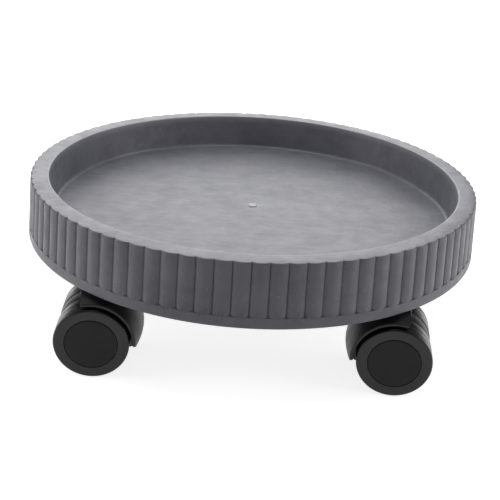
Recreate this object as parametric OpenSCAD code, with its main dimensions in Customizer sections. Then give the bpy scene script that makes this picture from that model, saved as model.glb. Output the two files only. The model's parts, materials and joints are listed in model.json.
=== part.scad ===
// Plant pot caddy: a round moulded tray on five twin-wheel swivel casters.
// The origin is on the floor under the middle of the tray. +Z is up and -Y is the front.

/* [Tray] */
// Diameter of the skirt at its bottom edge
base_d = 305; // [300:1:340]
// Diameter of the rim at its top
rim_d = 300; // [296:1:300]
// Diameter of the pot recess at the rim
recess_d = 276; // [272:1:278]
// Diameter of the pot recess just above its floor
recess_floor_d = 273; // [270:1:275]
// Depth of the pot recess below the rim
recess_depth = 25; // [20:1:27]
// Height of the skirt, from its bottom edge to the rim
skirt_h = 39; // [36:1:60]
// Radius of the fillet round the recess floor
fillet_r = 2.5; // [2:0.5:6]
// Thickness of the skirt, the rim and the recess wall
wall_t = 2.8; // [2:0.1:3.5]
// Thickness of the recess floor
floor_t = 3; // [2.5:0.1:4]

/* [Flutes] */
// Number of upright grooves round the skirt
flute_count = 92; // [60:1:110]
// Width of a groove at the skirt's surface
flute_w = 5; // [2:0.1:6]
// Depth of a groove
flute_depth = 1.2; // [0.6:0.1:1.5]
// Height of the smooth band under the grooves
band_h = 6.5; // [4:0.5:12]

/* [Caster sockets] */
// Distance of each stem from the middle of the tray
stem_circle_r = 128.8; // [120:0.2:129]
// Outer radius of the bosses under the floor
boss_r = 9.5; // [8:0.5:10]
// Outer radius of the steel socket in a boss
socket_r = 6; // [5.5:0.1:7]
// Bore radius of the socket
socket_bore_r = 4.2; // [4.1:0.05:4.4]

/* [Casters] */
// Radius of a wheel
wheel_r = 22.5; // [21:0.5:23.5]
// Width over both wheels of a caster
caster_w = 45.4; // [42:0.2:48]
// Distance of the axle behind the stem
trail = 15.5; // [14:0.5:17]
// Outer radius of the crowned fender at its middle
fender_r = 29.5; // [29:0.1:29.9]
// Outer radius of the fender at its sides
fender_side_r = 26.2; // [25.5:0.1:27]
// Inner radius of the fender
fender_in_r = 24.2; // [23.8:0.1:24.8]
// Width of the fender
fender_w = 44; // [38:0.5:46]
// Thickness of the hood's web between the wheels
web_w = 11; // [10:0.5:12]

/* [Hidden] */

// Each caster: its name, its place round the tray from +X, and the way its axle trails
CASTERS = [
    ["front_left", 234, 183],
    ["front_right", 306, -5.3],
    ["side_left", 162, 80],
    ["side_right", 18, 112],
    ["rear", 90, 188]];

fine = 128;
finest = 512;
tiny = 0.01;

// Heights above the floor
neck_sink = 0.5;
neck_top_z = wheel_r + fender_r - neck_sink;
swivel_gap = 0.2;
collar_t = 1.3;
skirt_z = neck_top_z + swivel_gap + collar_t;
rim_z = skirt_z + skirt_h;
floor_z = rim_z - recess_depth;
under_z = floor_z - floor_t;
bore_top_z = floor_z - 2;

base_r = base_d / 2;
rim_r = rim_d / 2;
recess_r = recess_d / 2;
recess_floor_r = recess_floor_d / 2;
flare = atan((base_r - rim_r) / skirt_h);

// Stiffening ribs under the floor
rib_t = 2;
rib_h = 6;
hub_r = 28;
ring_rib_r = 84;

// Stem, with its journal in the hood and its shank in the socket
journal_r = 3.5;
journal_gap = 0.05;
journal_z = 31;
bore_foot_z = 30.5;
collar_r = 8;
shank_r = 4;
shank_top_z = bore_top_z - 0.5;
groove_r = 3.2;
groove_w = 1.6;
groove_z = shank_top_z - 4.5;
ring_in_r = 3.25;
ring_out_r = 4.15;
ring_w = 1.2;
ring_angle = 300;

// Hood
neck_r = 9;
neck_z = 36;
web_r = 21;
web_lap = 0.3;
front_web_x = 7;
front_web_h = 21.2;
nose_r = 8;
nose_at = [-19.2, -3.4];
fender_from = -4;
fender_to = 99;
fender_t = fender_r - fender_in_r;
fender_mid_r = fender_r - fender_t / 2;
fender_crown = fender_r - fender_side_r;
crown_r = (pow(fender_w / 2, 2) + pow(fender_crown, 2)) / (2 * fender_crown);

// Wheels, caps and axle
axle_r = 3;
axle_gap = 0.05;
axle_half = caster_w / 2 - 3.2;
web_gap = 0.2;
inner_face = web_w / 2 + web_gap;
outer_face = caster_w / 2;
edge = 1.2;
cap_r = 15.7;
cap_gap = 0.05;
cap_t = 2.5;
cap_seat = 2.7;

tray_grey = [0.43, 0.43, 0.46];
hood_black = [0.13, 0.13, 0.135];
wheel_black = [0.06, 0.06, 0.065];
steel = [0.72, 0.73, 0.75];

// Places a child at a caster's stem, with +X along the trail
module at_caster(caster) {
    rotate([0, 0, caster[1]]) translate([stem_circle_r, 0, 0])
        rotate([0, 0, caster[2] - caster[1]]) children();
}

// Turns a drawing in X and Z, centred on the axle, into a slab across the caster
module across(width) {
    translate([trail, 0, wheel_r]) rotate([90, 0, 0])
        linear_extrude(height = width, center = true) children();
}

// Section of the tray from its middle to its skirt
module tray_section() {
    difference() {
        polygon([[0, under_z], [recess_floor_r + wall_t, under_z],
            [recess_r + wall_t, rim_z - wall_t], [rim_r - wall_t, rim_z - wall_t],
            [base_r - wall_t, skirt_z], [base_r, skirt_z], [rim_r, rim_z], [0, rim_z]]);
        polygon([[-tiny, floor_z], [recess_floor_r - fillet_r, floor_z],
            [recess_floor_r, floor_z + fillet_r], [recess_r, rim_z + tiny], [-tiny, rim_z + tiny]]);
        translate([recess_floor_r - fillet_r, floor_z + fillet_r]) circle(fillet_r, $fn = fine);
    }
}

// One upright groove in the skirt, open at the rim
module flute() {
    translate([base_r, 0, skirt_z]) rotate([0, -flare, 0])
        translate([0, 0, band_h]) linear_extrude(height = skirt_h)
            polygon([[1, -flute_w / 2], [1, flute_w / 2], [0, flute_w / 2],
                [-flute_depth, 0], [0, -flute_w / 2]]);
}

module tray() {
    color(tray_grey) difference() {
        union() {
            difference() {
                rotate_extrude($fn = fine) tray_section();
                for (i = [0:flute_count - 1])
                    rotate([0, 0, 360 * i / flute_count - 89.3]) flute();
            }
            for (caster = CASTERS) {
                at_caster(caster) translate([0, 0, skirt_z])
                    cylinder(r = boss_r, h = under_z + tiny - skirt_z, $fn = fine);
                rotate([0, 0, caster[1]]) translate([hub_r, -rib_t / 2, under_z - rib_h])
                    cube([stem_circle_r - boss_r + 1 - hub_r, rib_t, rib_h + tiny]);
            }
            for (r = [hub_r, ring_rib_r]) translate([0, 0, under_z - rib_h]) difference() {
                cylinder(r = r + rib_t / 2, h = rib_h + tiny, $fn = fine);
                translate([0, 0, -1]) cylinder(r = r - rib_t / 2, h = rib_h + 1, $fn = fine);
            }
        }
        for (caster = CASTERS) at_caster(caster) translate([0, 0, skirt_z - 1])
            cylinder(r = socket_r, h = bore_top_z + 1 - skirt_z, $fn = fine);
    }
}

// Steel sleeve pressed into a boss
module socket() {
    color(steel) translate([0, 0, skirt_z]) difference() {
        cylinder(r = socket_r, h = bore_top_z - skirt_z, $fn = fine);
        translate([0, 0, -1]) cylinder(r = socket_bore_r, h = bore_top_z + 2 - skirt_z, $fn = fine);
    }
}

// Turned stem with a collar that rests against the socket
module stem() {
    collar_z = skirt_z - collar_t;
    color(steel) rotate_extrude($fn = fine) polygon([[0, journal_z], [journal_r, journal_z],
        [journal_r, collar_z], [collar_r, collar_z], [collar_r, skirt_z], [shank_r, skirt_z],
        [shank_r, groove_z], [groove_r, groove_z], [groove_r, groove_z + groove_w],
        [shank_r, groove_z + groove_w], [shank_r, shank_top_z], [0, shank_top_z]]);
}

// Split spring ring that holds the stem in the socket
module grip_ring() {
    color(steel) translate([0, 0, groove_z + (groove_w - ring_w) / 2])
        rotate_extrude(angle = ring_angle, $fn = fine)
            translate([ring_in_r, 0]) square([ring_out_r - ring_in_r, ring_w]);
}

// Side view of the fender, measured from the stem's side over the top
module fender_side() {
    reach = 3 * fender_r;
    mid = (fender_from + fender_to) / 2;
    intersection() {
        circle(fender_r, $fn = fine);
        polygon(concat([[0, 0]], [for (a = [fender_from, mid, fender_to])
            [-reach * cos(a), reach * sin(a)]]));
    }
    for (a = [fender_from, fender_to])
        translate([-fender_mid_r * cos(a), fender_mid_r * sin(a)]) circle(fender_t / 2, $fn = fine);
}

// Barrel about the axle, whose crown the fender follows
module barrel() {
    translate([trail, 0, wheel_r]) rotate([90, 0, 0]) rotate_extrude($fn = fine) intersection() {
        translate([0, -fender_w / 2]) square([fender_r, fender_w]);
        translate([fender_r - crown_r, 0]) circle(crown_r, $fn = finest);
    }
}

// Moulded hood: fender, neck round the stem, and web between the wheels
module hood() {
    color(hood_black) difference() {
        union() {
            difference() {
                union() {
                    intersection() {
                        across(fender_w + 1) fender_side();
                        barrel();
                    }
                    translate([0, 0, neck_z]) cylinder(r = neck_r, h = neck_top_z - neck_z, $fn = fine);
                }
                across(fender_w + 1) circle(fender_in_r, $fn = fine);
            }
            across(web_w) circle(web_r, $fn = fine);
            across(web_w) translate(nose_at) circle(nose_r, $fn = fine);
            translate([0, -web_w / 2, wheel_r]) cube([trail, web_w, fender_in_r + web_lap]);
            translate([-front_web_x, -web_w / 2, wheel_r]) cube([neck_r, web_w, front_web_h]);
        }
        translate([0, 0, bore_foot_z])
            cylinder(r = journal_r + journal_gap, h = neck_top_z, $fn = fine);
        across(web_w + 1) circle(axle_r, $fn = fine);
    }
}

module axle() {
    color(steel) across(2 * axle_half) circle(axle_r, $fn = fine);
}

// Wheel with a seat for its cap; side is 1 on the left of the trail and -1 on its right
module wheel(side) {
    color(wheel_black) translate([trail, 0, wheel_r]) rotate([-90 * side, 0, 0])
        rotate_extrude($fn = fine) polygon([
            [axle_r + axle_gap, inner_face], [wheel_r - edge, inner_face],
            [wheel_r, inner_face + edge], [wheel_r, outer_face - edge],
            [wheel_r - edge, outer_face], [cap_r + cap_gap, outer_face],
            [cap_r + cap_gap, outer_face - cap_seat], [axle_r + axle_gap, outer_face - cap_seat]]);
}

// Disc that snaps into the wheel's outer face
module cap(side) {
    color(wheel_black) translate([trail, 0, wheel_r]) rotate([-90 * side, 0, 0])
        translate([0, 0, outer_face - cap_t]) cylinder(r = cap_r, h = cap_t, $fn = fine);
}

module caster_piece(caster, piece) {
    at_caster(caster) {
        if (piece == "hood") hood();
        if (piece == "stem") stem();
        if (piece == "grip_ring") grip_ring();
        if (piece == "socket") socket();
        if (piece == "axle") axle();
        if (piece == "left_wheel") wheel(1);
        if (piece == "right_wheel") wheel(-1);
        if (piece == "left_cap") cap(1);
        if (piece == "right_cap") cap(-1);
    }
}

tray();
for (caster = CASTERS, piece = ["hood", "stem", "grip_ring", "socket", "axle",
        "left_wheel", "right_wheel", "left_cap", "right_cap"])
    caster_piece(caster, piece);
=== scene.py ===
import json
from math import cos, pi, radians, sin, sqrt

import bpy
import bmesh
from mathutils import Matrix, Vector


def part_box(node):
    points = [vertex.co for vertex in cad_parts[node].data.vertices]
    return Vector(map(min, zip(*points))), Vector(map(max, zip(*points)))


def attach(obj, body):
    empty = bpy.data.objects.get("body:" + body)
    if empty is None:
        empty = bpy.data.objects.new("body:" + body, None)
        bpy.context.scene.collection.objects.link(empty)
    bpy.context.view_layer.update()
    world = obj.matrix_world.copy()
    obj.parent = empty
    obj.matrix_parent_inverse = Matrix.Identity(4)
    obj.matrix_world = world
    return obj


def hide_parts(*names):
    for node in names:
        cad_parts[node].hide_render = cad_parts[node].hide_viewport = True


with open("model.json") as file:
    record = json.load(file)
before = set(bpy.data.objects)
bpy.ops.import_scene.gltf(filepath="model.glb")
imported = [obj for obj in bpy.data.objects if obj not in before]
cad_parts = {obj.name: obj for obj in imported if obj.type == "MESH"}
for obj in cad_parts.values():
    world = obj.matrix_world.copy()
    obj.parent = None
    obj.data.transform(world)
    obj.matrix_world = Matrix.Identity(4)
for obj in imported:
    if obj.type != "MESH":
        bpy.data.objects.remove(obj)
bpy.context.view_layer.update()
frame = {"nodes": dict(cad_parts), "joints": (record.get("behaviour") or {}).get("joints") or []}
mm = 0.001
rim_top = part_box("tray")[1].z


# Camera: looks along +Y from above the front edge of the tray, and is turned a
# little about its own line of sight.
camera_height_angle = radians(23.99)
camera_turn = radians(3.56)
camera_distance = 0.6387
camera_aim = Vector((0.0002, 0.0, rim_top - 0.0592))
camera_back = camera_distance * Vector((0, -cos(camera_height_angle), sin(camera_height_angle)))
camera_sensor = 36
camera_lens = 64.33
camera_near = 0.01

camera_data = bpy.data.cameras.new("camera")
camera_data.sensor_width = camera_sensor
camera_data.lens = camera_lens
camera_data.clip_start = camera_near
camera = bpy.data.objects.new("camera", camera_data)
bpy.context.scene.collection.objects.link(camera)
camera.matrix_world = (
    Matrix.Translation(camera_aim + camera_back)
    @ Matrix.Rotation(pi / 2 - camera_height_angle, 4, "X")
    @ Matrix.Rotation(camera_turn, 4, "Z")
)
bpy.context.scene.camera = camera


# Stage: a plain pale floor that runs out to a round pale backdrop, lit by soft boxes
# above, behind and on both sides, with a weak fill at the front.
def shader(name, colour, roughness):
    """A new material with a plain shader; returns it, its nodes, its links and the shader."""
    material = bpy.data.materials.new(name)
    material.use_nodes = True
    nodes, links = material.node_tree.nodes, material.node_tree.links
    surface = nodes["Principled BSDF"]
    surface.inputs["Base Color"].default_value = (*colour, 1)
    surface.inputs["Roughness"].default_value = roughness
    return material, nodes, links, surface


def mesh_object(name, verts, faces, smooth_angle=None):
    """A mesh object at the origin, shaded smooth except across edges sharper than smooth_angle."""
    mesh = bpy.data.meshes.new(name)
    mesh.from_pydata([tuple(v) for v in verts], [], faces)
    mesh.validate()
    if smooth_angle is not None:
        mesh.shade_smooth()
        mesh.set_sharp_from_angle(angle=smooth_angle)
    obj = bpy.data.objects.new(name, mesh)
    bpy.context.scene.collection.objects.link(obj)
    return obj


floor_half = 12.0
floor_drop = 0.0002
floor_tone = 0.6
floor_roughness = 0.9
floor_glow = 0.82
backdrop_steps = 64
backdrop_height = 10.0
room_glow = 0.14
floor = mesh_object(
    "floor",
    [(floor_half * x, floor_half * y, -floor_drop) for x, y in ((-1, -1), (1, -1), (1, 1), (-1, 1))],
    [(0, 1, 2, 3)],
)
floor_material, _, _, floor_surface = shader("pale_floor", (floor_tone,) * 3, floor_roughness)
floor_surface.inputs["Emission Color"].default_value = (1, 1, 1, 1)
floor_surface.inputs["Emission Strength"].default_value = floor_glow
floor.data.materials.append(floor_material)
backdrop_turns = [2 * pi * i / backdrop_steps for i in range(backdrop_steps)]
backdrop_ring = [(floor_half * cos(a), floor_half * sin(a)) for a in backdrop_turns]
backdrop = mesh_object(
    "backdrop",
    [(x, y, z) for z in (-floor_drop, backdrop_height) for x, y in backdrop_ring],
    [(i, (i + 1) % backdrop_steps, backdrop_steps + (i + 1) % backdrop_steps, backdrop_steps + i)
     for i in range(backdrop_steps)],
)
backdrop.data.materials.append(floor_material)
backdrop.visible_glossy = False
for piece in (floor, backdrop):
    piece.visible_diffuse = False

world = bpy.data.worlds.new("studio")
world.use_nodes = True
world.node_tree.nodes["Background"].inputs["Color"].default_value = (1, 1, 1, 1)
world.node_tree.nodes["Background"].inputs["Strength"].default_value = room_glow
bpy.context.scene.world = world
bpy.context.scene.view_settings.view_transform = "Standard"


def soft_light(name, place, aim, width, power):
    """A square soft box at place that faces aim."""
    data = bpy.data.lights.new(name, "AREA")
    data.shape, data.size, data.energy = "SQUARE", width, power
    light = bpy.data.objects.new(name, data)
    light.location = place
    light.rotation_euler = (Vector(aim) - Vector(place)).to_track_quat("-Z", "Y").to_euler()
    bpy.context.scene.collection.objects.link(light)


light_aim = (0, 0, 0.05)
soft_light("overhead_light", (-0.1, 0.2, 1.4), light_aim, width=1.0, power=10)
soft_light("back_light", (-0.15, 1.5, 0.95), light_aim, width=1.6, power=22)
soft_light("left_light", (-1.3, -0.15, 0.5), light_aim, width=0.9, power=7)
soft_light("right_light", (1.3, -0.15, 0.5), light_aim, width=0.9, power=8)
soft_light("front_light", (0.2, -1.6, 0.9), light_aim, width=1.0, power=1)


# Tray: one moulding in grey plastic, with a flat-floored recess for the pot, a flat
# rim and a hollow fluted skirt. One flute's slice is made here, and Geometry Nodes
# sets it round the middle.
flute_count = 92
flute_turn = radians(0.7)
base_r = 152.5 * mm
rim_r = 150.0 * mm
recess_r = 138.0 * mm
recess_floor_r = 136.5 * mm
skirt_z = 53.0 * mm
recess_depth = 25.0 * mm
wall_t = 2.8 * mm
floor_t = 3.0 * mm
fillet_r = 2.5 * mm
rim_round = 0.9 * mm
foot_round = 0.8 * mm
band_h = 6.5 * mm
ledge_h = 0.15 * mm
lobe_depth = 1.1 * mm
valley_depth = 0.3 * mm
valley_share = 0.16
gate_r = 3.0 * mm
gate_h = 0.5 * mm
under_round = 1.0 * mm
floor_rings = [r * mm for r in (126, 110, 90, 66, 40, 18, 6)]
crest_steps = 6
weld_distance = 0.01 * mm
moulding_crease = radians(38)
floor_z = rim_top - recess_depth
lobe_foot = skirt_z + band_h
lobe_top = rim_top - rim_round


def arc(centre_r, centre_z, radius, start, end, count):
    """Points of an arc in the section plane, from start to end degrees."""
    angles = [radians(start + (end - start) * i / count) for i in range(count + 1)]
    return [(centre_r + radius * cos(a), centre_z + radius * sin(a)) for a in angles]


def skirt_r(z):
    """Outer radius of the skirt's crests at a height."""
    return base_r + (rim_r - base_r) * (z - skirt_z) / (rim_top - skirt_z)


def groove(share):
    """How deep the skirt lies under its crest, at a share from -0.5 to 0.5 of one flute."""
    across = abs(2 * share)
    valley = max(0.0, (across - 1 + valley_share) / valley_share)
    return lobe_depth * across**2 + valley_depth * valley**1.3


skirt_heights = [lobe_foot + ledge_h * s for s in (0, 0.35, 0.7, 1.0)]
skirt_heights += [lobe_foot + ledge_h + (lobe_top - lobe_foot - ledge_h) * i / crest_steps
                  for i in range(1, crest_steps)]
outer_line = (
    arc(base_r - foot_round, skirt_z + foot_round, foot_round, -90, 0, 3)
    + [(skirt_r(z), z) for z in (skirt_z + 2.5 * mm, skirt_z + 4.5 * mm)]
    + [(skirt_r(z), z) for z in skirt_heights]
    + arc(rim_r - rim_round, rim_top - rim_round, rim_round, 0, 90, 5)
)
top_line = (
    arc(recess_r + rim_round, rim_top - rim_round, rim_round, 90, 180, 5)
    + [(recess_floor_r + 0.6 * mm, floor_z + 10 * mm)]
    + arc(recess_floor_r - fillet_r, floor_z + fillet_r, fillet_r, 0, -90, 8)
    + [(r, floor_z) for r in floor_rings]
    + [(gate_r + 0.25 * mm, floor_z), (gate_r, floor_z + gate_h * 0.8)]
    + [(gate_r - 0.5 * mm, floor_z + gate_h)]
)
under_line = (
    [(r, floor_z - floor_t) for r in reversed(floor_rings)]
    + arc(recess_floor_r + wall_t - under_round, floor_z - floor_t + under_round, under_round, -90, 0, 3)
    + arc(recess_r + wall_t + under_round, rim_top - wall_t - under_round, under_round, 180, 90, 3)
    + arc(rim_r - wall_t - 1.5 * mm, rim_top - wall_t - under_round, under_round, 90, 0, 3)
    + arc(base_r - wall_t + foot_round, skirt_z + foot_round, foot_round, 180, 270, 3)
)
right_shares = [0.13, 0.26, 0.36, 0.41, 0.44, 0.47, 0.5]
fine_shares = [-share for share in reversed(right_shares)] + [0] + right_shares
coarse_shares = [-0.5, 0, 0.5]
pitch = 2 * pi / flute_count

slice_verts, slice_faces = [], []


def slice_rows(line, shares, fluted):
    """Adds a section line turned through one flute, and returns its rows of vertex numbers."""
    rows = []
    for r, z in line:
        depth_share = min(1.0, max(0.0, (z - lobe_foot) / ledge_h)) if fluted else 0.0
        row = []
        for share in shares:
            radius = r - groove(share) * depth_share
            slice_verts.append((radius * cos(pitch * share), radius * sin(pitch * share), z))
            row.append(len(slice_verts) - 1)
        rows.append(row)
    for low, high in zip(rows, rows[1:]):
        for i in range(len(shares) - 1):
            slice_faces.append((low[i], low[i + 1], high[i + 1], high[i]))
    return rows


outer_rows = slice_rows(outer_line, fine_shares, True)
top_rows = slice_rows(top_line, coarse_shares, False)
under_rows = slice_rows(under_line, coarse_shares, False)
half = len(fine_shares) // 2
for i in range(2):
    fine_top = outer_rows[-1][i * half:(i + 1) * half + 1]
    slice_faces.append((*fine_top, top_rows[0][i + 1], top_rows[0][i]))
    fine_foot = outer_rows[0][i * half:(i + 1) * half + 1]
    slice_faces.append((under_rows[-1][i], under_rows[-1][i + 1], *reversed(fine_foot)))
slice_verts.append((0, 0, floor_z + gate_h * 1.05))
slice_verts.append((0, 0, floor_z - floor_t))
for i in range(2):
    slice_faces.append((top_rows[-1][i], top_rows[-1][i + 1], len(slice_verts) - 2))
    slice_faces.append((under_rows[0][i + 1], under_rows[0][i], len(slice_verts) - 1))
tray = mesh_object("tray_shell", slice_verts, slice_faces)


def bump_from(nodes, links, surface, heights, strength, distance):
    """Joins a height output to a shader's normal through a Bump node."""
    bump = nodes.new("ShaderNodeBump")
    bump.inputs["Strength"].default_value = strength
    bump.inputs["Distance"].default_value = distance
    links.new(heights, bump.inputs["Height"])
    if surface.inputs["Normal"].is_linked:
        links.new(surface.inputs["Normal"].links[0].from_socket, bump.inputs["Normal"])
    links.new(bump.outputs["Normal"], surface.inputs["Normal"])


def noise(nodes, links, place, scale, detail, stretch=None):
    """Noise on the object's own coordinates, stretched along its axes if asked; returns its output."""
    texture = nodes.new("ShaderNodeTexNoise")
    texture.inputs["Scale"].default_value = scale
    texture.inputs["Detail"].default_value = detail
    if stretch:
        mapping = nodes.new("ShaderNodeMapping")
        mapping.inputs["Scale"].default_value = stretch
        links.new(place, mapping.inputs["Vector"])
        place = mapping.outputs["Vector"]
    links.new(place, texture.inputs["Vector"])
    return texture.outputs["Fac"]


def ramp(nodes, links, value, stops):
    """A colour ramp of (place, colour) stops on value; returns its colour output."""
    node = nodes.new("ShaderNodeValToRGB")
    elements = node.color_ramp.elements
    while len(elements) < len(stops):
        elements.new(0.5)
    for element, (position, colour) in zip(elements, stops):
        element.position = position
        element.color = (*colour, 1)
    links.new(value, node.inputs["Fac"])
    return node.outputs["Color"]


def mix_colour(nodes, links, share, first, second):
    """Mixes two colours, each a value or an output, by a share output; returns the result."""
    node = nodes.new("ShaderNodeMix")
    node.data_type = "RGBA"
    links.new(share, node.inputs["Factor"])
    for socket, colour in ((node.inputs[6], first), (node.inputs[7], second)):
        if isinstance(colour, bpy.types.NodeSocket):
            links.new(colour, socket)
        else:
            socket.default_value = (*colour, 1)
    return node.outputs[2]


def shader_math(nodes, links, operation, first, second=0.0):
    """A maths node on an output and a value; returns its output."""
    node = nodes.new("ShaderNodeMath")
    node.operation = operation
    links.new(first, node.inputs[0])
    node.inputs[1].default_value = second
    return node.outputs[0]


gloss_scale = 90
gloss_spread = (-0.05, 0.07)
pebble_scale = 900
pebble_rise = 0.15 * mm
grain_scale = 240
grain_rise = 0.6 * mm


def moulded_plastic(name, dark, light, roughness, grain, mottle, specular=0.5):
    """Moulded plastic: a cloudy tone from dark to light, a pebbled grain and an uneven gloss."""
    material, nodes, links, surface = shader(name, light, roughness)
    surface.inputs["Specular IOR Level"].default_value = specular
    place = nodes.new("ShaderNodeTexCoord").outputs["Object"]
    tone = noise(nodes, links, place, mottle, 4)
    links.new(ramp(nodes, links, tone, [(0.35, dark), (0.68, light)]), surface.inputs["Base Color"])
    gloss = noise(nodes, links, place, gloss_scale, 6)
    low, high = (roughness + spread for spread in gloss_spread)
    uneven = ramp(nodes, links, gloss, [(0.35, (low,) * 3), (0.7, (high,) * 3)])
    links.new(uneven, surface.inputs["Roughness"])
    pebbles = nodes.new("ShaderNodeTexVoronoi")
    pebbles.inputs["Scale"].default_value = pebble_scale
    links.new(place, pebbles.inputs["Vector"])
    bump_from(nodes, links, surface, pebbles.outputs["Distance"], grain, pebble_rise)
    bump_from(nodes, links, surface, noise(nodes, links, place, grain_scale, 5), grain, grain_rise)
    return material


tray_dark, tray_light = (0.112, 0.113, 0.134), (0.146, 0.147, 0.172)
tray_plastic = moulded_plastic("tray_plastic", tray_dark, tray_light, roughness=0.42, grain=0.5, mottle=40)

# The tray's own marks: flow lines across the recess and scattered pale scuffs. Painted
# highlights as well: pale colour on the gate nub that fades to a faint halo round it,
# and a pale line along the rim's rounded inner edge.
flow_tone = (0.19, 0.19, 0.215)
scuff_tone = (0.30, 0.30, 0.33)
# The next colour is a painted highlight on the gate nub and its faint halo.
gate_highlight_tone = (0.55, 0.55, 0.57)
# The next colour is a painted highlight along the rim's inner edge.
rim_highlight_tone = (0.34, 0.34, 0.37)
gate_highlight_reach = 20 * mm
rim_highlight_reach = 1.2 * mm
tray_nodes, tray_links = tray_plastic.node_tree.nodes, tray_plastic.node_tree.links
tray_surface = tray_nodes["Principled BSDF"]
tray_place = tray_nodes.new("ShaderNodeTexCoord").outputs["Object"]
flow = noise(tray_nodes, tray_links, tray_place, 130, 5, stretch=(0.4, 1.6, 1.0))
scuffs = noise(tray_nodes, tray_links, tray_place, 420, 3, stretch=(0.6, 0.6, 1.0))
flat = tray_nodes.new("ShaderNodeMapping")
flat.inputs["Scale"].default_value = (1, 1, 0)
tray_links.new(tray_place, flat.inputs["Vector"])
reach = tray_nodes.new("ShaderNodeVectorMath")
reach.operation = "LENGTH"
tray_links.new(flat.outputs["Vector"], reach.inputs[0])
moulded = tray_surface.inputs["Base Color"].links[0].from_socket
flow_share = ramp(tray_nodes, tray_links, flow, [(0.40, (0, 0, 0)), (0.72, (0.35,) * 3)])
streaked = mix_colour(tray_nodes, tray_links, flow_share, moulded, flow_tone)
scuff_share = ramp(tray_nodes, tray_links, scuffs, [(0.66, (0, 0, 0)), (0.78, (0.4,) * 3)])
scuffed = mix_colour(tray_nodes, tray_links, scuff_share, streaked, scuff_tone)

# Painted highlight: pale colour on the gate nub that fades to a faint pale halo round it, standing in for
# the nub's glint.
gate_highlight_spread = shader_math(tray_nodes, tray_links, "DIVIDE", reach.outputs["Value"], gate_highlight_reach)
gate_highlight_share = ramp(tray_nodes, tray_links, gate_highlight_spread,
                   [(0.0, (0.65,) * 3), (0.12, (0.45,) * 3), (0.17, (0.10,) * 3), (0.6, (0, 0, 0))])
gate_highlighted = mix_colour(tray_nodes, tray_links, gate_highlight_share, scuffed, gate_highlight_tone)
# Painted highlight: a pale line of colour along the rim's rounded inner edge, standing in for its shine.
from_edge = shader_math(tray_nodes, tray_links, "SUBTRACT", reach.outputs["Value"], recess_r + 0.45 * mm)
from_edge = shader_math(tray_nodes, tray_links, "ABSOLUTE", from_edge)
from_edge = shader_math(tray_nodes, tray_links, "DIVIDE", from_edge, rim_highlight_reach)
rim_highlight_share = ramp(tray_nodes, tray_links, from_edge, [(0.3, (0.55,) * 3), (0.6, (0, 0, 0))])
rim_highlighted = mix_colour(tray_nodes, tray_links, rim_highlight_share, gate_highlighted, rim_highlight_tone)
tray_links.new(rim_highlighted, tray_surface.inputs["Base Color"])
bump_from(tray_nodes, tray_links, tray_surface, flow, 0.10, 0.0006)

flute_tree = bpy.data.node_groups.new("flutes_round_the_tray", "GeometryNodeTree")
flute_tree.is_modifier = True
for socket_name, socket_type in (("Slice", "NodeSocketGeometry"), ("Flutes", "NodeSocketInt"),
                                 ("First Turn", "NodeSocketFloat"), ("Weld Distance", "NodeSocketFloat"),
                                 ("Plastic", "NodeSocketMaterial")):
    flute_tree.interface.new_socket(socket_name, in_out="INPUT", socket_type=socket_type)
flute_tree.interface.new_socket("Tray", in_out="OUTPUT", socket_type="NodeSocketGeometry")


def tree_node(tree, kind, **inputs):
    """Adds a node to a tree; each input is a value or an output socket."""
    node = tree.nodes.new(kind)
    for key, value in inputs.items():
        target = node.inputs[int(key[1:])] if key[1:].isdigit() else node.inputs[key.replace("_", " ")]
        if isinstance(value, bpy.types.NodeSocket):
            tree.links.new(value, target)
        else:
            target.default_value = value
    return node


def math_node(tree, operation, first, second):
    """A maths node of two inputs; returns its output."""
    node = tree_node(tree, "ShaderNodeMath", i0=first, i1=second)
    node.operation = operation
    return node.outputs[0]


given = flute_tree.nodes.new("NodeGroupInput").outputs
seats = tree_node(flute_tree, "GeometryNodePoints", Count=given["Flutes"]).outputs[0]
number = flute_tree.nodes.new("GeometryNodeInputIndex").outputs[0]
step = math_node(flute_tree, "DIVIDE", 2 * pi, given["Flutes"])
turn = math_node(flute_tree, "ADD", math_node(flute_tree, "MULTIPLY", number, step), given["First Turn"])
turn_axes = tree_node(flute_tree, "ShaderNodeCombineXYZ", Z=turn).outputs[0]
turn_rotation = tree_node(flute_tree, "FunctionNodeEulerToRotation", Euler=turn_axes).outputs[0]
ring_of_slices = tree_node(flute_tree, "GeometryNodeInstanceOnPoints", Points=seats,
                           Instance=given["Slice"], Rotation=turn_rotation).outputs[0]
real_slices = tree_node(flute_tree, "GeometryNodeRealizeInstances", Geometry=ring_of_slices).outputs[0]
welded = tree_node(flute_tree, "GeometryNodeMergeByDistance", Geometry=real_slices,
                   Distance=given["Weld Distance"]).outputs[0]
finished = tree_node(flute_tree, "GeometryNodeSetMaterial", Geometry=welded,
                     Material=given["Plastic"]).outputs[0]
flute_tree.links.new(finished, flute_tree.nodes.new("NodeGroupOutput").inputs[0])


def bake_tree(obj, tree, values):
    """Runs a Geometry Nodes tree on obj with its named inputs, and keeps the result as obj's plain mesh."""
    modifier = obj.modifiers.new(tree.name, "NODES")
    modifier.node_group = tree
    for item in tree.interface.items_tree:
        if item.in_out == "INPUT" and item.name in values:
            modifier[item.identifier] = values[item.name]
    bpy.context.view_layer.update()
    depsgraph = bpy.context.evaluated_depsgraph_get()
    mesh = bpy.data.meshes.new_from_object(obj.evaluated_get(depsgraph), depsgraph=depsgraph)
    obj.modifiers.clear()
    obj.data = mesh


def outward(obj, smooth_angle):
    """Turns every face outward and shades the mesh smooth up to an angle."""
    shape = bmesh.new()
    shape.from_mesh(obj.data)
    bmesh.ops.recalc_face_normals(shape, faces=shape.faces)
    shape.to_mesh(obj.data)
    shape.free()
    obj.data.shade_smooth()
    obj.data.set_sharp_from_angle(angle=smooth_angle)


bake_tree(tray, flute_tree, {"Flutes": flute_count, "First Turn": flute_turn - pi / 2 + pitch / 2,
                             "Weld Distance": weld_distance, "Plastic": tray_plastic})
outward(tray, moulding_crease)
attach(tray, "tray")
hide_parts("tray")


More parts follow.
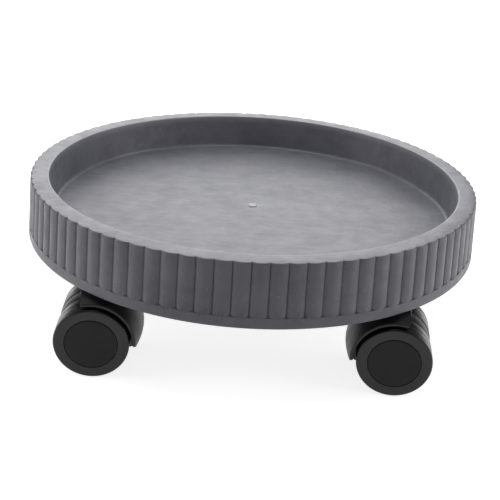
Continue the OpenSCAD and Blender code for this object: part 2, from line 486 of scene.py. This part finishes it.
# Underside of the tray: bosses that hold the caster sockets, and stiffening ribs, in
# the same moulding as the shell and joined to its floor.
boss_r = 9.5 * mm
socket_r = 6.0 * mm
rib_t = 2.0 * mm
rib_h = 6.0 * mm
hub_r = 28 * mm
ring_rib_r = 84 * mm
under_z = floor_z - floor_t
sink = 0.4 * mm
rib_round = 0.4 * mm
boss_round = 0.6 * mm
round_steps = 64

CASTERS = ("front_left", "front_right", "side_left", "side_right", "rear")
swivels = {j["child"][:-len("_caster")]: j for j in frame["joints"] if j["name"].endswith("_swivel")}
spins = {j["name"]: j for j in frame["joints"] if j["name"].endswith("_spin")}


def lathe(line, steps, closed=True):
    """Vertices and faces of a section line of (r, z) points turned about Z; a point at r 0 is a pole."""
    verts, faces, rows = [], [], []
    for r, z in line:
        if r < 1e-9:
            verts.append(Vector((0, 0, z)))
            rows.append([len(verts) - 1] * steps)
            continue
        rows.append(list(range(len(verts), len(verts) + steps)))
        turns = [2 * pi * i / steps for i in range(steps)]
        verts += [Vector((r * cos(a), r * sin(a), z)) for a in turns]
    pairs = list(zip(rows, rows[1:])) + ([(rows[-1], rows[0])] if closed else [])
    for low, high in pairs:
        for i in range(steps):
            j = (i + 1) % steps
            face = list(dict.fromkeys((low[i], low[j], high[j], high[i])))
            if len(face) > 2:
                faces.append(tuple(face))
    return verts, faces


def add_shape(verts, faces, shape, transform=Matrix.Identity(4)):
    """Adds one shape's vertices and faces to growing lists."""
    start = len(verts)
    verts += [transform @ Vector(v) for v in shape[0]]
    faces += [tuple(start + i for i in face) for face in shape[1]]


def rib_outline(middle, low, high):
    """Section of a rib about its middle, with softened lower edges."""
    left, right = middle - rib_t / 2, middle + rib_t / 2
    return [(left, high), (left, low + rib_round), (left + rib_round, low),
            (right - rib_round, low), (right, low + rib_round), (right, high)]


def facing(x, y):
    """The turn about Z that brings +X to the direction of (x, y)."""
    length = sqrt(x * x + y * y)
    along, aside = x / length, y / length
    return Matrix(((along, -aside, 0, 0), (aside, along, 0, 0), (0, 0, 1, 0), (0, 0, 0, 1)))


def bar(start_r, end_r, low, high):
    """A rib along +X."""
    outline = rib_outline(0, low, high)
    verts = [Vector((r, y, z)) for r in (start_r, end_r) for y, z in outline]
    n = len(outline)
    faces = [tuple(range(n)), tuple(range(2 * n - 1, n - 1, -1))]
    faces += [(i, (i + 1) % n, n + (i + 1) % n, n + i) for i in range(n)]
    return verts, faces


rib_verts, rib_faces = [], []
boss_line = [(socket_r, under_z + sink), (boss_r, under_z + sink)]
boss_line += arc(boss_r - boss_round, skirt_z + boss_round, boss_round, 0, -90, 3)
boss_line += [(socket_r, skirt_z)]
for caster in CASTERS:
    x, y, _ = swivels[caster]["pos_m"]
    stem_r = sqrt(x * x + y * y)
    rib = bar(hub_r, stem_r - boss_r + 0.6 * mm, under_z - rib_h, under_z + sink)
    add_shape(rib_verts, rib_faces, lathe(boss_line, round_steps), Matrix.Translation((x, y, 0)))
    add_shape(rib_verts, rib_faces, rib, facing(x, y))
for ring_r in (hub_r, ring_rib_r):
    ring_line = rib_outline(ring_r, under_z - rib_h, under_z + sink)
    add_shape(rib_verts, rib_faces, lathe(ring_line, 2 * round_steps))
ribs = mesh_object("tray_bosses_and_ribs", rib_verts, rib_faces)
ribs.data.materials.append(tray_plastic)
outward(ribs, moulding_crease)
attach(ribs, "tray")
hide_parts("tray")


# Steel: turned stems with their grip rings and pressed sockets, and the axles, all
# zinc plated. Their CAD shapes stay, with a turned, lightly brushed finish.
steel, steel_nodes, steel_links, steel_surface = shader("zinc_steel", (0.62, 0.63, 0.65), 0.32)
steel_surface.inputs["Metallic"].default_value = 1.0
steel_place = steel_nodes.new("ShaderNodeTexCoord").outputs["Object"]
turning = noise(steel_nodes, steel_links, steel_place, 40, 3, stretch=(1, 1, 60))
steel_tone = ramp(steel_nodes, steel_links, turning, [(0.3, (0.50, 0.51, 0.53)), (0.7, (0.68, 0.69, 0.71))])
steel_links.new(steel_tone, steel_surface.inputs["Base Color"])
steel_gloss = ramp(steel_nodes, steel_links, turning, [(0.3, (0.26,) * 3), (0.7, (0.42,) * 3)])
steel_links.new(steel_gloss, steel_surface.inputs["Roughness"])
bump_from(steel_nodes, steel_links, steel_surface, turning, 0.2, 0.0001)
for caster in CASTERS:
    for piece in ("stem", "grip_ring", "socket", "axle"):
        part = frame["nodes"][f"{caster}_{piece}"]
        part.data.materials.clear()
        part.data.materials.append(steel)


# Hoods: black nylon mouldings that turn on the stems. Each has a neck round the stem,
# a crowned fender over the wheels and a web between them that holds the axle.
wheel_r = 22.5 * mm
trail = 15.5 * mm
fender_r = 29.5 * mm
fender_side_r = 26.2 * mm
fender_in_r = 24.2 * mm
fender_half_w = 22.0 * mm
fender_edge = 0.9 * mm
fender_bow = 6.0 * mm
fender_tip = 10.0 * mm
fender_start = radians(-12.0)
fender_end = radians(105)
nose_r = 8.0 * mm
nose_place_r = 19.5 * mm
nose_angle = radians(-10.0)
web_half_w = 5.5 * mm
web_r = 21.0 * mm
web_back_r = 22.2 * mm
web_edge = 0.9 * mm
web_sink = 1.2 * mm
neck_r = 9.0 * mm
neck_top = 51.5 * mm
neck_sink = 1.3 * mm
neck_edge = 0.9 * mm
journal_gap_r = 3.55 * mm
bore_foot = 30.5 * mm
axle_r = 3.0 * mm
axle_place = Vector((trail, 0, wheel_r))
solid_crease = radians(40)
hood_crease = radians(32)


def fender_point(angle, radius, y):
    """A point on the hood at an angle from the stem's side, over the top, about the axle."""
    return axle_place + Vector((-radius * cos(angle), y, radius * sin(angle)))


def fender_loop(angle, half_w, share):
    """One closed loop across the fender: crowned outside, plain inside, with round edges."""
    edge_w = min(fender_edge, half_w * 0.9)
    flat_w = half_w - edge_w

    def outer(y):
        """Outer radius of the crowned fender at y."""
        crowned = fender_side_r + (fender_r - fender_side_r) * (1 - (y / fender_half_w) ** 2)
        return fender_in_r + (crowned - fender_in_r) * share

    middle, half_t = (outer(flat_w) + fender_in_r) / 2, (outer(flat_w) - fender_in_r) / 2
    outside, inside, corner = 18, 8, 6
    round_edge = [(middle + half_t * cos(pi * i / corner), flat_w + edge_w * sin(pi * i / corner))
                  for i in range(1, corner)]
    loop = [(outer(y), y) for y in (flat_w * (2 * i / outside - 1) for i in range(outside + 1))]
    loop += round_edge
    loop += [(fender_in_r, flat_w * (1 - 2 * i / inside)) for i in range(inside + 1)]
    loop += [(radius, -y) for radius, y in reversed(round_edge)]
    return [fender_point(angle, radius, y) for radius, y in loop]


def loft(loops):
    """Vertices and faces of a closed tube through the loops, with a flat face at each end."""
    n = len(loops[0])
    verts = [v for loop in loops for v in loop]
    faces = [(k * n + i, k * n + (i + 1) % n, (k + 1) * n + (i + 1) % n, (k + 1) * n + i)
             for k in range(len(loops) - 1) for i in range(n)]
    faces += [tuple(range(n - 1, -1, -1)), tuple(range((len(loops) - 1) * n, len(loops) * n))]
    return verts, faces


middle_r = (fender_r + fender_in_r) / 2
arc_length = middle_r * (fender_end - fender_start)
end_steps = [d * mm for d in (0, 0.08, 0.25, 0.5, 0.8, 1.2, 1.7, 2.3, 3.0, 3.9, 5.0)]
middle_steps = 30
middle_length = arc_length - 2 * end_steps[-1]
stations = end_steps + [end_steps[-1] + middle_length * i / middle_steps for i in range(1, middle_steps)]
stations += [arc_length - d for d in reversed(end_steps)]
narrowest = 0.3
stem_end = (fender_bow, fender_tip, 0.25)
far_end = (1.0 * mm, 0.6 * mm, 0.75)
fender_loops = []
for s in stations:
    from_end = min(s, arc_length - s)
    bow, tip, thin = stem_end if s < arc_length / 2 else far_end
    narrow = max(0.0, 1 - from_end / bow)
    half_w = fender_half_w * (narrowest + (1 - narrowest) * sqrt(1 - narrow**2))
    share = thin + (1 - thin) * sqrt(1 - max(0.0, 1 - from_end / tip) ** 2)
    fender_loops.append(fender_loop(fender_start + s / middle_r, half_w, share))


def rise(angle, start, end):
    """How far an angle has come from start to end, both in degrees, held between 0 and 1."""
    return min(1.0, max(0.0, (angle - radians(start)) / radians(end - start)))


def web_outline():
    """Side outline of the web: a disc with a nose beside the stem, carried up into the fender."""
    points = []
    steps = 180
    for i in range(steps):
        a = 2 * pi * i / steps - pi / 2
        into = min(rise(a, -8, 2), rise(a, 94, 84))
        behind = min(rise(a, 80, 92), rise(a, 196, 176))
        radius = web_r + (web_back_r - web_r) * behind
        radius = max(radius, web_r + (fender_in_r + web_sink - web_r) * into * into * (3 - 2 * into))
        aside = nose_r**2 - (nose_place_r * sin(a - nose_angle)) ** 2
        if aside > 0 and cos(a - nose_angle) > 0:
            radius = max(radius, nose_place_r * cos(a - nose_angle) + sqrt(aside))
        points.append((a, radius))
    return points


def web_loop(y, inset):
    """The web's outline at y, drawn in by inset."""
    return [fender_point(a, r - inset, y) for a, r in web_outline()]


web_sections = [(-web_half_w + web_edge * share, web_edge * inset)
                for share, inset in ((0, 1), (0.3, 0.3), (1, 0))]
web_sections += [(-y, inset) for y, inset in reversed(web_sections)]
web_loops = [web_loop(y, inset) for y, inset in web_sections]


def neck_shape():
    """The stub round the stem: its foot follows the inside of the fender."""
    steps = 72
    foot_r = fender_in_r + neck_sink
    small = 0.3 * neck_edge
    rows = []
    for radius, z in ((neck_r, None), (neck_r, neck_top - neck_edge), (neck_r - small, neck_top - small),
                      (neck_r - neck_edge, neck_top)):
        row = []
        for i in range(steps):
            a = 2 * pi * i / steps
            x, y = radius * cos(a), radius * sin(a)
            foot = wheel_r + sqrt(foot_r**2 - (x - trail) ** 2)
            height = foot if z is None else max(z, foot + 0.05 * mm)
            row.append(Vector((x, y, height)))
        rows.append(row)
    return loft(rows)


def shape_object(name, shape):
    """A solid from a shape's vertices and faces, ready to be joined to another."""
    obj = mesh_object(name, *shape)
    outward(obj, solid_crease)
    return obj


def join_solids(base, tool, operation):
    """Joins or cuts base with tool, and removes tool."""
    modifier = base.modifiers.new("join", "BOOLEAN")
    modifier.operation, modifier.solver, modifier.object = operation, "EXACT", tool
    bpy.context.view_layer.update()
    depsgraph = bpy.context.evaluated_depsgraph_get()
    mesh = bpy.data.meshes.new_from_object(base.evaluated_get(depsgraph), depsgraph=depsgraph)
    base.modifiers.clear()
    base.data = mesh
    bpy.data.objects.remove(tool)


hood_shape = shape_object("hood_shape", loft(fender_loops))
join_solids(hood_shape, shape_object("neck", neck_shape()), "UNION")
join_solids(hood_shape, shape_object("web", loft(web_loops)), "UNION")
stem_bore = lathe([(0, bore_foot), (journal_gap_r, bore_foot), (journal_gap_r, neck_top + 5 * mm),
                   (0, neck_top + 5 * mm)], round_steps, closed=False)
join_solids(hood_shape, shape_object("stem_bore", stem_bore), "DIFFERENCE")
axle_bore = lathe([(0, -2 * web_half_w), (axle_r, -2 * web_half_w), (axle_r, 2 * web_half_w),
                   (0, 2 * web_half_w)], round_steps, closed=False)
across = Matrix.Translation(axle_place) @ Matrix.Rotation(-pi / 2, 4, "X")
axle_bore = ([across @ v for v in axle_bore[0]], axle_bore[1])
join_solids(hood_shape, shape_object("axle_bore", axle_bore), "DIFFERENCE")
outward(hood_shape, hood_crease)
hood_plastic = moulded_plastic("hood_nylon", (0.012, 0.012, 0.013), (0.018, 0.018, 0.019),
                               roughness=0.42, grain=0.22, mottle=30, specular=0.35)


def at_caster(caster):
    """The transform from a caster's own frame, with +X along its trail, to the whole."""
    stem = Vector(swivels[caster]["pos_m"])
    axle = Vector(spins[f"{caster}_left_wheel_spin"]["pos_m"])
    return Matrix.Translation((stem.x, stem.y, 0)) @ facing(axle.x - stem.x, axle.y - stem.y)


def set_at_caster(shape, name, caster, body, node, material):
    """A copy of a caster piece's mesh, moved to one caster and fixed to its body."""
    mesh = shape.data.copy()
    mesh.name = name
    mesh.materials.clear()
    mesh.materials.append(material)
    mesh.transform(at_caster(caster))
    piece = bpy.data.objects.new(name, mesh)
    bpy.context.scene.collection.objects.link(piece)
    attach(piece, body)
    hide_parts(node)


for caster in CASTERS:
    set_at_caster(hood_shape, f"{caster}_hood_moulding", caster, f"{caster}_caster", f"{caster}_hood",
                  hood_plastic)
bpy.data.objects.remove(hood_shape)


# Wheels and caps: black nylon wheels that spin on the axle, two to a caster, with two
# fine moulding lines round the tread, and a cap snapped into each outer face.
inner_face = 5.7 * mm
outer_face = 22.7 * mm
wheel_round = 1.3 * mm
line_places = (10.4 * mm, 4.0 * mm)
line_depth = 0.35 * mm
line_half_w = 0.35 * mm
cap_r = 15.62 * mm
cap_seat_r = 15.85 * mm
cap_seat = 2.7 * mm
cap_round = 0.3 * mm
cap_crown = 0.12 * mm
cap_crown_r = 15.4 * mm
seat_round = 0.25 * mm
bore_r = 3.05 * mm
bore_round = 0.3 * mm
pocket_in_r = 7.0 * mm
pocket_out_r = 18.6 * mm
pocket_slope = 0.6 * mm
pocket_depth = 2.0 * mm
wheel_steps = 128
wheel_crease = radians(35)
seat_z = outer_face - cap_seat
cap_foot = seat_z + 0.2 * mm

wheel_line = [(bore_r, seat_z), (bore_r, inner_face + bore_round), (bore_r + bore_round, inner_face)]
wheel_line += [(pocket_in_r, inner_face), (pocket_in_r + pocket_slope, inner_face + pocket_depth),
               (pocket_out_r - pocket_slope, inner_face + pocket_depth), (pocket_out_r, inner_face)]
wheel_line += arc(wheel_r - wheel_round, inner_face + wheel_round, wheel_round, -90, 0, 6)
for place in line_places:
    z = outer_face - place
    wheel_line += [(wheel_r, z - line_half_w), (wheel_r - line_depth, z - line_half_w * 0.4),
                   (wheel_r - line_depth, z + line_half_w * 0.4), (wheel_r, z + line_half_w)]
wheel_line += arc(wheel_r - wheel_round, outer_face - wheel_round, wheel_round, 0, 90, 6)
wheel_line += arc(cap_seat_r + seat_round, outer_face - seat_round, seat_round, 90, 180, 3)
wheel_line += [(cap_seat_r, seat_z)]
cap_line = [(0, cap_foot), (cap_r, cap_foot)]
cap_line += arc(cap_r - cap_round, outer_face - cap_round, cap_round, 0, 90, 3)
cap_line += [(r * mm, outer_face + cap_crown * (1 - (r * mm / cap_crown_r) ** 2)) for r in (13, 10, 6, 3, 0)]

wheel_plastic = moulded_plastic("wheel_nylon", (0.004, 0.004, 0.0045), (0.007, 0.007, 0.0075),
                                roughness=0.30, grain=0.12, mottle=40, specular=0.36)
cap_plastic = moulded_plastic("cap_nylon", (0.004, 0.004, 0.0045), (0.006, 0.006, 0.0065),
                              roughness=0.40, grain=0.12, mottle=40, specular=0.2)
for side, sign in (("left", 1), ("right", -1)):
    wheel_turn = Matrix.Translation(axle_place) @ Matrix.Rotation(-sign * pi / 2, 4, "X")
    for piece, line, closed, slot, material in (
        ("wheel", wheel_line, True, "wheel_plastic", wheel_plastic),
        ("cap", cap_line, False, "cap_plastic", cap_plastic),
    ):
        verts, faces = lathe(line, wheel_steps, closed)
        shape = mesh_object("wheel_shape", [wheel_turn @ v for v in verts], faces)
        outward(shape, wheel_crease)
        for caster in CASTERS:
            set_at_caster(shape, f"{caster}_{side}_{piece}_moulding", caster, f"{caster}_{side}_roller",
                          f"{caster}_{side}_{piece}", material)
        bpy.data.objects.remove(shape)
